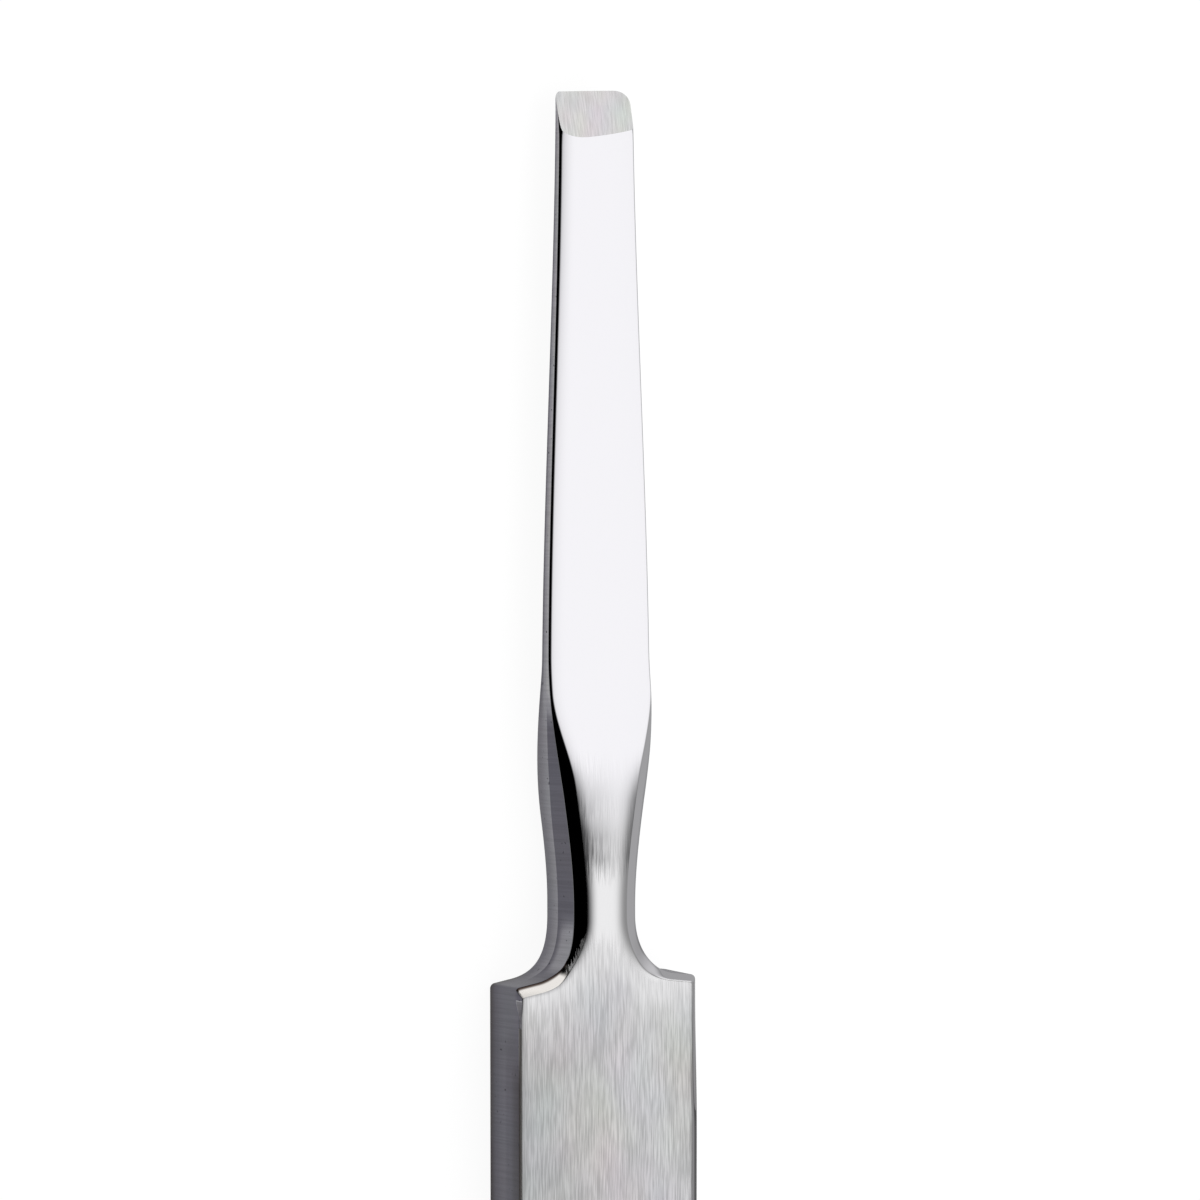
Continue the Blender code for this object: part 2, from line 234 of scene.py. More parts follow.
# %% Plan of one line: arc, shoulder, corner and bar
def arc_points(x_neck, s_corner, pull):
    """The hollow arc from the neck to the shoulder, as (x, s)."""
    x_end = x_neck + ARC_WIDTH
    s_end = s_corner - (HANDLE_WIDTH / 2 - x_end) * tan(SHOULDER_SLOPE)
    start, end = Vector((x_neck, s_end - ARC_LENGTH)), Vector((x_end, s_end))
    pull_neck = start + Vector((0.0, ARC_LENGTH * pull))
    pull_out = end - Vector((1.0, tan(SHOULDER_SLOPE))) * ARC_WIDTH * ARC_PULL_SHOULDER
    points = []
    for t in ARC_SHARES:
        u = 1.0 - t
        p = start * u ** 3 + pull_neck * 3 * u * u * t + pull_out * 3 * u * t * t + end * t ** 3
        points.append((p.x, p.y))
    return points


def corner_points(x_side, s_corner, radius):
    """The rounded outer corner of a shoulder, from its slope down to the side."""
    turn = pi / 2 - SHOULDER_SLOPE
    centre_s = s_corner + radius * tan(turn / 2)
    points = []
    for i in range(ROUND_COUNT + 1):
        angle = turn * (1.0 - i / ROUND_COUNT)
        points.append((x_side - radius + radius * cos(angle), centre_s - radius * sin(angle)))
    return points


BAR_TOP = SHOULDER_FROM_EDGE + SHOULDER_CORNER
SETTLE_STATIONS = [
    BAR_TOP + SETTLE_REACH * share ** SETTLE_CROWDING for share in steps(0.0, 1.0, SETTLE_COUNT)
]


def settled(s, side):
    """0 at the shoulder's corner and 1 where the handle's own edge begins."""
    return ease(s, BAR_TOP, BAR_TOP + side["settles_over"])


def bar_points(x_side, corner, side=None, extra=0.0):
    """Down the side of the handle and round its far corner."""
    end = TOTAL_LENGTH - END_ROUND
    points = [
        (x_side - (extra * (1.0 - settled(s, side)) if side else 0.0), s) for s in SETTLE_STATIONS
    ]
    points += [(x_side, s) for s in steps(SETTLE_STATIONS[-1], end - END_CORNER, BAR_COUNT)]
    for i in range(1, END_COUNT + 1):
        angle = pi / 2 * i / END_COUNT
        points.append((x_side - corner * (1.0 - cos(angle)), end - corner * (1.0 - sin(angle))))
    return points


def join(arc, corner, bar):
    """The arc, the straight slope of the shoulder, its corner and the bar."""
    slope = [
        (between(arc[-1][0], corner[0][0], share), between(arc[-1][1], corner[0][1], share))
        for share in steps(0.0, 1.0, SLOPE_COUNT)
    ]
    return arc + slope + corner[1:] + bar


def outline(widths, s_corner, pull):
    side = HANDLE_WIDTH / 2
    arc = arc_points(widths[-1], s_corner, pull)
    corner = corner_points(side, s_corner, SHOULDER_CORNER)
    return list(zip(widths, STRAIGHT)) + join(arc, corner, bar_points(side, END_CORNER))


print("stations where the long edges settle:", SETTLE_COUNT)

# %% [markdown]
# The front line isn't a copy of the edge line: it lies inside it by the width of
# the facet, measured square to the line. The heights follow from the same
# values, so a wider facet is also the one that drops further.

# %% Facet along the arc, and the front line inside the edge line
def along_arc(t, neck, mid, shoulder, side):
    """A facet value round the arc: neck, half way and shoulder."""
    first = between(neck, mid, ease(t, 0.0, side["mid_at"]))
    return between(first, shoulder, ease(t, side["mid_at"], side["settled_at"]))


def inset(points, k, width):
    """The point at width inwards from points[k], square to the line there."""
    before, here, after = (Vector(points[i]) for i in (k - 1, k, k + 1))
    along = (after - before).normalized()
    moved = here + Vector((-along.y, along.x)) * width
    return (moved.x, moved.y)


def front_line(edge, side):
    first = len(STRAIGHT)
    points = []
    for x, s in edge[:first]:
        rolled = side["roll_width"] * (1.0 - ease(s, 0.0, ROLL_LENGTH))
        points.append((x - facet_width(s, side) - rolled, s))
    arc = []
    for i, t in enumerate(ARC_SHARES):
        width = along_arc(t, FACET_NECK, side["facet_mid"], side["facet_shoulder"], side)
        arc.append(inset(edge, first + i, width))
    soft, inner = side["soft"], side["soft_corner"]
    lower = side["facet_shoulder"] / cos(SHOULDER_SLOPE) - inner * tan(SHOULDER_SLOPE)
    s_corner = SHOULDER_FROM_EDGE - side["lead"] + lower
    radius = SHOULDER_CORNER * FRONT_CORNER_SHARE
    corner = corner_points(HANDLE_WIDTH / 2 - inner, s_corner, radius)
    bar = bar_points(HANDLE_WIDTH / 2 - soft, END_CORNER - soft, side, inner - soft)
    return points + join(arc, corner, bar)


def plan_lines(side):
    widths = []
    for s in STRAIGHT:
        along, across = side["tip_corner"]
        inside = max(1.0 - s / along, 0.0)
        rounding = across * (1.0 - sqrt(1.0 - inside * inside))
        widths.append(half_width(s) - rounding - side["sign"] * OFF_CENTRE)
    ridge = [x + RIDGE_OUT * ease(s, *RIDGE_GROWTH) for x, s in zip(widths, STRAIGHT)]
    lead, pull = side["lead"], side["arc_pull"]
    edge = outline(widths, SHOULDER_FROM_EDGE - lead, pull)
    return {
        "back": outline(widths, SHOULDER_FROM_EDGE, pull),
        "ridge": outline(ridge, SHOULDER_FROM_EDGE - lead * RIDGE_SHARE_NECK, pull),
        "edge": edge,
        "front": front_line(edge, side),
    }


lines = {"left": plan_lines(LEFT), "right": plan_lines(RIGHT)}
STATIONS = len(lines["left"]["edge"])
print("stations in all:", STATIONS, [len(line) for line in lines["right"].values()])

# %% [markdown]
# ## Heights at each station
#
# The handle's front looks flat, but a belt-ground bar is always a hair higher in
# the middle. That small crown is why the real one is darker on its left and
# lighter on its right, so it is modelled: a few hundredths of a millimetre.

# %% Heights of the lines, station by station
HANDLE_CROWN = 0.07 * MM


def heights(side):
    """(back, edge, front, crown) at each station of one side."""
    rows = []
    for s in STRAIGHT:
        crown = crown_rise(s, side)
        front = HANDLE_THICKNESS - crest_depth(s) - crown
        edge = front - facet_width(s, side) * tan(FACET_TILT)
        edge -= side["roll_drop"] * (1.0 - ease(s, 0.0, ROLL_LENGTH))
        rows.append((back_height(s), edge, front, crown))
    neck_front = rows[-1][2]
    neck_crest = HANDLE_THICKNESS - CREST_DEPTH_NECK
    bar_front = HANDLE_THICKNESS - HANDLE_CROWN
    neck_drop = FACET_NECK * tan(FACET_TILT)
    for t in ARC_SHARES:
        share = ease(t, 0.0, 1.0)
        front = between(neck_front, bar_front, share)
        crest = between(neck_crest, HANDLE_THICKNESS, share)
        drop = along_arc(t, neck_drop, side["drop_mid"], side["drop_shoulder"], side)
        rows.append((0.0, front - drop, front, crest - front))
    level = [side["drop_shoulder"]] * (SLOPE_COUNT + ROUND_COUNT)
    level += [
        between(side["drop_shoulder"], side["soft_drop"], settled(s, side)) for s in SETTLE_STATIONS
    ]
    level += [side["soft_drop"]] * (BAR_COUNT + END_COUNT)
    rows += [(0.0, bar_front - drop, bar_front, HANDLE_CROWN) for drop in level]
    return rows


levels = {"left": heights(LEFT), "right": heights(RIGHT)}
print("highest point, mm:", round(max(r[2] + r[3] for r in levels["left"]) / MM, 3))

# %% [markdown]
# ## Cross sections
#
# No ground edge is perfectly sharp. Each corner of a section is replaced by a
# short curve between two points that lie a little way along its neighbours. The
# radius differs: the edge line stays crisp, the ridge is a soft roll, and the
# back edges are broken by hand so that the tool doesn't cut the glove. The edges
# of the blade and the neck are crisper than those of the handle.
#
# Across the front, one line runs from each station over the crown to the middle
# of the tool. Where the outline turns outwards these lines open like a fan, so
# that they don't cross, and so that the crown flows from the neck into the handle
# with no step.

# %% One rounded section
BACK_ROUND = 0.16 * MM
BACK_ROUND_NECK = 0.07 * MM
EDGE_ROUND_BLADE = 0.02 * MM
RIDGE_ROUND = 0.07 * MM
ROUND_STEPS = 4
SIDE_STEPS = 3
FACET_STEPS = 3
CROWN_STEPS = 22
CROWN_CROWDING = 1.4
CREST_HALF_GAP = 0.04 * MM
FAN_REACH = 1.50 * MM
FAN_STEP = 0.02 * MM
FRONT_ROUND = 0.05 * MM
MOST_OF_A_SIDE = 0.42
PAST_CORNER = 3

side_first = 1 + ROUND_STEPS // 2
ridge_at = 1 + ROUND_STEPS + 1 + SIDE_STEPS - 1 + ROUND_STEPS // 2
edge_at = ridge_at + ROUND_STEPS + SIDE_STEPS
front_first = edge_at + ROUND_STEPS + FACET_STEPS


def rounded(corner, before, after, size):
    """A short curve in place of a corner."""
    back, ahead = before - corner, after - corner
    start = corner + back.normalized() * min(size, back.length * MOST_OF_A_SIDE)
    end = corner + ahead.normalized() * min(size, ahead.length * MOST_OF_A_SIDE)
    points = []
    for i in range(ROUND_STEPS + 1):
        t = i / ROUND_STEPS
        points.append(start * (1 - t) ** 2 + corner * 2 * t * (1 - t) + end * t * t)
    return points


def spaced(start, end, count):
    """The points between start and end, without the two."""
    return [start.lerp(end, i / count) for i in range(1, count)]


def middle_distances():
    """Where the crown line of each station meets the middle of the front."""
    fan = steps(STRAIGHT[-1], SHOULDER_FROM_EDGE + FAN_REACH, ARC_COUNT)
    after = [s for x, s in lines["left"]["edge"][len(STRAIGHT) + len(fan):]]
    return STRAIGHT + fan + [max(s, fan[-1] + FAN_STEP * (i + 1)) for i, s in enumerate(after)]


MIDDLES = middle_distances()


def crown_points(front, height, middle, flatness):
    """From the front line to the middle of the tool, over the crown."""
    points = []
    for i in range(CROWN_STEPS + 1):
        share = (i / CROWN_STEPS) ** CROWN_CROWDING
        along = front.lerp(middle, share)
        along.z = front.z + height * (1.0 - (1.0 - share) ** flatness)
        points.append(along)
    return points


def half_section(k, name, side):
    """One half of station k, from the middle of the back to the middle of the front.

    Each item is a point, its share of the side's height, and its distance in
    millimetres inside the front line, which is negative outside it.
    """
    here, sign = lines[name], side["sign"]
    back_z, edge_z, front_z, crown = levels[name][k]
    ridge_z = between(back_z, edge_z, ridge_share(here["back"][k][1]))

    def place(line, z):
        x, s = here[line][k]
        return Vector((sign * x, TOTAL_LENGTH / 2 - s, z))

    back, ridge = place("back", back_z), place("ridge", ridge_z)
    edge, front = place("edge", edge_z), place("front", front_z)
    crest = Vector((sign * CREST_HALF_GAP, TOTAL_LENGTH / 2 - MIDDLES[k], front_z + crown))
    crown_line = crown_points(front, crown, crest, side["flatness"])
    keel = Vector((0.0, back.y, back.z))
    round_arc = ease(k, len(STRAIGHT), len(STRAIGHT) + ARC_COUNT / 2)
    a = rounded(back, keel, ridge, between(BACK_ROUND_NECK, BACK_ROUND, round_arc))
    b = rounded(ridge, back, edge, RIDGE_ROUND)
    on_neck = ease(here["back"][k][1], *RIDGE_GROWTH)
    c = rounded(edge, ridge, front, between(EDGE_ROUND_BLADE, side["edge_round"], on_neck))
    front_round = between(FRONT_ROUND, side["front_round"], round_arc)
    d = rounded(front, edge, crown_line[PAST_CORNER], front_round)
    points = [back.lerp(keel, 0.5)] + a + spaced(a[-1], b[0], SIDE_STEPS) + b
    points += spaced(b[-1], c[0], SIDE_STEPS) + c
    points += spaced(c[-1], d[0], FACET_STEPS) + d + crown_line[PAST_CORNER:]
    items = []
    for j, point in enumerate(points):
        inside = (point - front).length / MM
        share = (point.z - back_z) / (edge_z - back_z)
        items.append((point, min(share, 1.0), inside if j >= front_first else -inside))
    return items


print("points in half a section:", len(half_section(0, "left", LEFT)))

# %% [markdown]
# ## The mesh
#
# The sections are joined ring by ring with four-sided faces. The far end gets a
# quarter round, made of rings that shrink as they close, and the tip is closed
# by a flat face. Then the bevel is ground: the mesh is cut by the bevel plane, and
# the cut is closed by one flat face, as on a whetstone.

# %% Rings of points along the tool
END_STEPS = 4


def ring(k):
    return half_section(k, "left", LEFT) + half_section(k, "right", RIGHT)[::-1]


def end_rings(last):
    """The quarter round at the end of the handle."""
    rings = []
    for i in range(1, END_STEPS + 1):
        angle = pi / 2 * i / END_STEPS
        shrink = END_ROUND * (1.0 - cos(angle))
        middle = HANDLE_THICKNESS / 2
        in_x = 1.0 - shrink / (HANDLE_WIDTH / 2 - END_CORNER)
        in_z = 1.0 - shrink / middle
        further = END_ROUND * sin(angle)
        closer = [
            (Vector((p.x * in_x, p.y - further, middle + (p.z - middle) * in_z)), *rest)
            for p, *rest in last
        ]
        rings.append(closer)
    return rings


rings = [ring(k) for k in range(STATIONS)]
rings += end_rings(rings[-1])
print("rings:", len(rings), "of", len(rings[0]), "points")

# %% Faces, with the finish of each
BACK, SIDE, FACET, FRONT, BEVEL = range(5)
half_count = len(rings[0]) // 2


def place_in_half(i):
    """Where ring point i stands in its half section."""
    return i if i < half_count else 2 * half_count - 1 - i


def finish_of(i):
    """Which finish the face after ring point i has."""
    j = i if i < half_count else 2 * half_count - 2 - i
    if j < side_first:
        return BACK
    if j < edge_at:
        return SIDE
    return FACET if j < front_first else FRONT


print("finish of each face in half a ring:", [finish_of(i) for i in range(half_count)])

# %% [markdown]
# On the sides, the light that the steel reflects is painted into its colour. On the neck the
# rear half, up to the ridge, has a painted sheen that is brighter than the front half and
# brightens towards the ridge. The front half has a painted glow where the hollow arc turns.
# On the blade the painted sheen brightens from a painted shade at the back all the way up to
# the edge line. On the handle the middle of the side is the brightest, with painted shade
# towards its back and its front edge, and the right edge of the handle is darkened by
# painted shade. A faint dark line of painted reflection lies above the left shoulder's
# facet, and below that shoulder's corner a short strip was dulled by the wheel.
#
# None of this can be told from a point's place alone, so each point of the mesh carries a
# value for it, its painted sheen and dulling. 0 is the plain side, -1 the dark line, 1
# bright and 2 the brightest. The dulled strip has a value of its own, 3.

# %% Painted sheen and dulling of each point
# Painted sheen, painted glow and painted shade of the sides, as values of each point.
REAR_PAINTED_SHEEN = (0.16, 0.80)
BLADE_PAINTED_SHEEN = (-0.30, 2.20)
FRONT_HALF_PAINTED_SHEEN = 0.05
NECK_SHEEN_TAKES_OVER = (29.5 * MM, 32.0 * MM)
ARC_GLOW = 1.05
GLOW_COMES = (-0.08, 0.16)
GLOW_GOES = (0.45, 0.80)
GLOW_ABOVE_RIDGE = (1.0, 1.5)
HANDLE_PAINTED_SHEEN = (-0.85, 0.24)
HANDLE_BRIGHTENS = (-0.05, 0.42)
HANDLE_BEGINS = (0.45, 0.95)
# Painted shade on the handle's side, towards its front edge.
FRONT_PAINTED_SHADE = 0.75
FRONT_PAINTED_SHADE_UP = (0.50, 0.95)
FRONT_PAINTED_SHADE_FROM = (46.0 * MM, 50.0 * MM)
# Where the painted dark reflection above the left shoulder's facet begins.
PAINTED_DARK_LINE_BEGINS = (0.30, 0.45)
# Painted shade on the right edge of the handle.
RIGHT_EDGE_PAINTED_SHADE = -0.30
END_TONE = 0.0
CORNER_TONE = 3.0
LAST_SHOULDER = len(STRAIGHT) + ARC_COUNT + SLOPE_COUNT + ROUND_COUNT // 2
CORNER_STATIONS = ROUND_COUNT // 2 + SETTLE_COUNT // 3


def side_painted_sheen(s, share, round_arc):
    """The painted sheen and shade of a side at s, at a share of its height."""
    blade = between(*BLADE_PAINTED_SHEEN, max(share, 0.0))
    rear = share / ridge_share(s)
    if rear < 1.0:
        neck = between(*REAR_PAINTED_SHEEN, max(rear, 0.0))
    else:
        glow = ease(round_arc, *GLOW_COMES) * (1.0 - ease(round_arc, *GLOW_GOES))
        neck = FRONT_HALF_PAINTED_SHEEN + ARC_GLOW * glow * ease(rear, *GLOW_ABOVE_RIDGE)
    handle = between(*HANDLE_PAINTED_SHEEN, ease(share, *HANDLE_BRIGHTENS))
    handle -= FRONT_PAINTED_SHADE * ease(share, *FRONT_PAINTED_SHADE_UP) * ease(s, *FRONT_PAINTED_SHADE_FROM)
    upper = between(blade, neck, ease(s, *NECK_SHEEN_TAKES_OVER))
    return between(upper, handle, ease(round_arc, *HANDLE_BEGINS))


def sheen_and_dulling_of(k, j, share, left):
    """The painted sheen and dulling of point j of half section k."""
    k = min(k, STATIONS - 1)
    round_arc = (k - len(STRAIGHT)) / ARC_COUNT
    past_corner = k - LAST_SHOULDER
    if left and j > edge_at + 1 and ROUND_COUNT // 2 < past_corner <= CORNER_STATIONS:
        return CORNER_TONE
    if j > edge_at + ROUND_STEPS // 2:
        return RIGHT_EDGE_PAINTED_SHADE if k > LAST_SHOULDER and not left else 0.0
    if left and j >= edge_at and k <= LAST_SHOULDER:
        return -ease(round_arc, *PAINTED_DARK_LINE_BEGINS)
    return side_painted_sheen(lines["left"]["edge"][k][1], share, round_arc)


print("tones of the blade and of the dulled strip:", BLADE_PAINTED_SHEEN, CORNER_TONE)


# %% Join the rings
def add_points(mesh):
    """The points of all rings, each with its painted sheen and dulling and its distance inside the
    front line.
    """
    painted_sheen_and_dulling = mesh.verts.layers.float.new("painted_sheen_and_dulling")
    inner = mesh.verts.layers.float.new("inside")
    made = []
    for k, items in enumerate(rings):
        row = []
        for i, (place, share, inside) in enumerate(items):
            point = mesh.verts.new(place)
            point[painted_sheen_and_dulling] = sheen_and_dulling_of(k, place_in_half(i), share, i < half_count)
            if k == len(rings) - 1:
                point[painted_sheen_and_dulling] = END_TONE
            point[inner] = inside
            row.append(point)
        made.append(row)
    return made


def loft():
    mesh = bmesh.new()
    made = add_points(mesh)
    dulled = range(LAST_SHOULDER, LAST_SHOULDER + CORNER_STATIONS)
    for k, (one, other) in enumerate(zip(made, made[1:])):
        for i in range(len(one)):
            j = (i + 1) % len(one)
            face = mesh.faces.new((one[i], one[j], other[j], other[i]))
            face.material_index = finish_of(i) if j else BACK
            if face.material_index == FACET and k in dulled and i < half_count:
                face.material_index = SIDE
    tip = mesh.faces.new(made[0][::-1])
    end = mesh.faces.new(made[-1])
    tip.material_index = end.material_index = SIDE
    for edge in tip.edges:
        edge.smooth = False
    return mesh


mesh = loft()
print("faces before the bevel:", len(mesh.faces))

# %% The bevel
BEVEL_ANGLE = radians(15.0)
BEVEL_LEAN = 0.027
EDGE_LAND = 0.06 * MM
CUT_TOLERANCE = 1e-8


def grind_bevel(mesh):
    on_edge = Vector((0.0, TOTAL_LENGTH / 2, BLADE_BACK_HEIGHT + EDGE_LAND))
    up_bevel = Vector((0.0, -cos(BEVEL_ANGLE), sin(BEVEL_ANGLE)))
    normal = Vector((1.0, 0.0, BEVEL_LEAN)).cross(-up_bevel).normalized()
    everything = mesh.verts[:] + mesh.edges[:] + mesh.faces[:]
    cut = bmesh.ops.bisect_plane(mesh, geom=everything, dist=CUT_TOLERANCE, plane_co=on_edge,
                                 plane_no=normal, clear_outer=True)
    rim = [item for item in cut["geom_cut"] if isinstance(item, bmesh.types.BMEdge)]
    made = bmesh.ops.contextual_create(mesh, geom=rim)
    for face in made["faces"]:
        face.material_index = BEVEL
        face.smooth = False
    for edge in rim:
        edge.smooth = False
    return made["faces"]


bevel = grind_bevel(mesh)
bmesh.ops.recalc_face_normals(mesh, faces=mesh.faces[:])
print("bevel, mm2:", round(sum(face.calc_area() for face in bevel) / MM ** 2, 2))

# %% The piece
data = bpy.data.meshes.new("chisel_ground")
for face in mesh.faces:
    face.smooth = face.material_index != BEVEL
mesh.to_mesh(data)
mesh.free()
chisel = bpy.data.objects.new("chisel_ground", data)
bpy.context.scene.collection.objects.link(chisel)
weigh = chisel.modifiers.new("even_shading", "WEIGHTED_NORMAL")
weigh.keep_sharp = True
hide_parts("chisel")
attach(chisel, "root")
print("faces:", len(data.polygons))

# %% [markdown]
# ## Grinding marks
#
# Every finish on this tool is made of scratches, and what differs is their
# direction, their length and their depth. One node group therefore draws the
# scratches for all materials: noise that is squeezed across the lines and
# stretched along them. It gives a height for the bump, and streaks, which are the
# same lines as a mask between 0 and 1.
#
# A few helpers come first. Each adds one node, feeds it and hands back its
# output. The last one puts the nodes in columns, for the node editor.

# %% Node helpers
COLUMN_WIDTH = 220
ROW_HEIGHT = 180


def add(tree, kind, **settings):
    node = tree.nodes.new(kind)
    for name, value in settings.items():
        setattr(node, name, value)
    return node


def feed(tree, socket, value):
    """Sets a socket to a number, a vector or a colour, or links it to another socket."""
    if isinstance(value, (int, float)):
        socket.default_value = value
    elif isinstance(value, tuple):
        socket.default_value = (*value, 1.0)[:len(socket.default_value)]
    else:
        tree.links.new(value, socket)


def math(tree, operation, *values):
    node = add(tree, "ShaderNodeMath", operation=operation)
    for socket, value in zip(node.inputs, values):
        feed(tree, socket, value)
    return node.outputs[0]


def times(tree, first, *others):
    """Masks multiplied with each other."""
    for other in others:
        first = math(tree, "MULTIPLY", first, other)
    return first


def vector_math(tree, operation, vector, other):
    node = add(tree, "ShaderNodeVectorMath", operation=operation)
    feed(tree, node.inputs[0], vector)
    feed(tree, node.inputs["Scale"] if operation == "SCALE" else node.inputs[1], other)
    return node.outputs[0]


def ramp(tree, value, low, high, out_low=0.0, out_high=1.0):
    """A smooth step of value from low to high. It falls where low is the larger one."""
    node = add(tree, "ShaderNodeMapRange", interpolation_type="SMOOTHSTEP")
    for socket, item in zip(node.inputs, (value, low, high, out_low, out_high)):
        feed(tree, socket, item)
    return node.outputs[0]


def mix_value(tree, factor, low, high):
    node = add(tree, "ShaderNodeMix", data_type="FLOAT")
    for i, value in ((0, factor), (2, low), (3, high)):
        feed(tree, node.inputs[i], value)
    return node.outputs[0]


def mix(tree, factor, low, high, blend="MIX"):
    node = add(tree, "ShaderNodeMix", data_type="RGBA", blend_type=blend)
    for i, value in ((0, factor), (6, low), (7, high)):
        feed(tree, node.inputs[i], value)
    return node.outputs[2]


def apart(tree, vector):
    """The x, y and z of a vector."""
    node = add(tree, "ShaderNodeSeparateXYZ")
    feed(tree, node.inputs[0], vector)
    return node.outputs


def joined(tree, *values):
    """A vector, or a colour, from three values."""
    node = add(tree, "ShaderNodeCombineXYZ")
    for socket, value in zip(node.inputs, values):
        feed(tree, socket, value)
    return node.outputs[0]


def dimmed(tree, colour, value):
    """A colour times a value near 1."""
    return mix(tree, 1.0, colour, joined(tree, value, value, value), "MULTIPLY")


def carried(tree, name):
    """A value that the mesh carries at each of its points."""
    return add(tree, "ShaderNodeAttribute", attribute_name=name).outputs["Fac"]


def noise(tree, place, scale, output="Fac", detail=3.0):
    node = add(tree, "ShaderNodeTexNoise")
    for name, value in (("Vector", place), ("Scale", scale), ("Detail", detail)):
        feed(tree, node.inputs[name], value)
    return node.outputs[output]


def arrange(tree):
    """Places the nodes in columns, each left of all that it feeds."""
    column = {node.name: 0 for node in tree.nodes}
    for _ in column:
        for link in tree.links:
            source = link.from_node.name
            column[source] = max(column[source], column[link.to_node.name] + 1)
    filled = [0] * (max(column.values()) + 1)
    for node in tree.nodes:
        at = column[node.name]
        node.location = (-COLUMN_WIDTH * at, -ROW_HEIGHT * filled[at])
        filled[at] += 1


# %% Node group: scratches
VALUE = "NodeSocketFloat"
VECTOR = "NodeSocketVector"
COLOUR = "NodeSocketColor"
DEEP_LINES_PER_MM = 1.0
BROAD_SCALE = 0.3
STREAK_EDGES = (0.3, 0.7)


def new_group(name, inputs, outputs):
    """A node group with named sockets, each given with its kind."""
    group = bpy.data.node_groups.new(name, "ShaderNodeTree")
    for way, sockets in (("INPUT", inputs), ("OUTPUT", outputs)):
        for label, kind in sockets.items():
            group.interface.new_socket(name=label, in_out=way, socket_type=kind)
    return group, add(group, "NodeGroupInput").outputs, add(group, "NodeGroupOutput").inputs


def use_group(tree, group, **inputs):
    node = add(tree, "ShaderNodeGroup", node_tree=group)
    for name, value in inputs.items():
        feed(tree, node.inputs[name.replace("_", " ")], value)
    return node.outputs


def scratches_group():
    inputs = {"Place": VECTOR, "Lines per mm": VALUE, "Length in mm": VALUE, "Broad share": VALUE}
    group, given, result = new_group("scratches", inputs, {"Height": VALUE, "Streaks": VALUE})
    x, y, z = apart(group, given["Place"])
    across = times(group, x, given["Lines per mm"])
    along = math(group, "DIVIDE", y, given["Length in mm"])
    squeezed = joined(group, across, along, times(group, z, DEEP_LINES_PER_MM))
    fine = noise(group, squeezed, 1.0)
    broad = noise(group, squeezed, BROAD_SCALE)
    mixed = mix_value(group, given["Broad share"], fine, broad)
    feed(group, result["Height"], fine)
    feed(group, result["Streaks"], ramp(group, mixed, *STREAK_EDGES))
    arrange(group)
    return group


SCRATCHES = scratches_group()
print("node group:", SCRATCHES.name, [item.name for item in SCRATCHES.interface.items_tree])

# %% [markdown]
# Brushed steel isn't quite grey: seen close, patches of it lean to pink, to green
# or to blue, because a film of oxide that is thinner than the light's wavelength
# lies over it. A second group gives each patch such a tint, as a colour near
# white that multiplies the steel's own. The patches are longer than wide.

# %% Node group: tints
PATCH_STRETCH = (1.0, 0.65, 1.0)
MID_GREY = (0.5, 0.5, 0.5)
WHITE = (1.0, 1.0, 1.0)


def tints_group():
    inputs = {"Place": VECTOR, "Size in mm": VALUE, "Strength": VALUE}
    group, given, result = new_group("tints", inputs, {"Tint": COLOUR})
    longer = vector_math(group, "MULTIPLY", given["Place"], PATCH_STRETCH)
    scale = math(group, "DIVIDE", 1.0, given["Size in mm"])
    patches = noise(group, longer, scale, "Color", 1.0)
    around_zero = vector_math(group, "SUBTRACT", patches, MID_GREY)
    weaker = vector_math(group, "SCALE", around_zero, given["Strength"])
    feed(group, result["Tint"], vector_math(group, "ADD", weaker, WHITE))
    arrange(group)
    return group


TINTS = tints_group()
print("node group:", TINTS.name, [item.name for item in TINTS.interface.items_tree])


# %% A steel with its place in millimetres
def new_steel(name):
    material = bpy.data.materials.new(name)
    material.use_nodes = True
    tree = material.node_tree
    tree.nodes["Principled BSDF"].inputs["Metallic"].default_value = 1.0
    where = add(tree, "ShaderNodeTexCoord").outputs["Object"]
    return material, tree, vector_math(tree, "SCALE", where, 1.0 / MM)


def tinted(tree, colour, place, size, strength):
    tint = use_group(tree, TINTS, Place=place, Size_in_mm=size, Strength=strength)["Tint"]
    return mix(tree, 1.0, colour, tint, "MULTIPLY")


def finished(material, colour, rough, height, depth):
    """Feeds the shader. A height between 0 and 1 becomes relief, as deep as depth."""
    tree = material.node_tree
    relief = add(tree, "ShaderNodeBump")
    feed(tree, relief.inputs["Distance"], depth)
    feed(tree, relief.inputs["Height"], height)
    shader = tree.nodes["Principled BSDF"].inputs
    feed(tree, shader["Base Color"], colour)
    feed(tree, shader["Roughness"], rough)
    feed(tree, shader["Normal"], relief.outputs[0])
    arrange(tree)
    return material


# %% [markdown]
# ## The front: polished blade and neck, satin handle
#
# The blade is a mirror. Down the neck the polish gets a little hazier, and where
# the two meet some belt marks are left, most of them beside the left facet. The
# handle's front is drawn over a belt, so its lines run lengthwise. They start
# below the shoulders along a ragged line, a low roof over three points, and they
# leave a polished rim along the arcs.
#
# Masks say how much there is of each. A mask is a step between two places in
# millimetres: along the tool from its middle, across it, or inside the front
# line, which the mesh carries. Two more numbers are its values there, where they
# aren't 0 and 1. The scratches shift the steps lengthwise, which makes them ragged.

# %% Front: colours, roughness and lines
MIRROR = (0.702, 0.695, 0.720)
HAZY = (0.645, 0.642, 0.650)
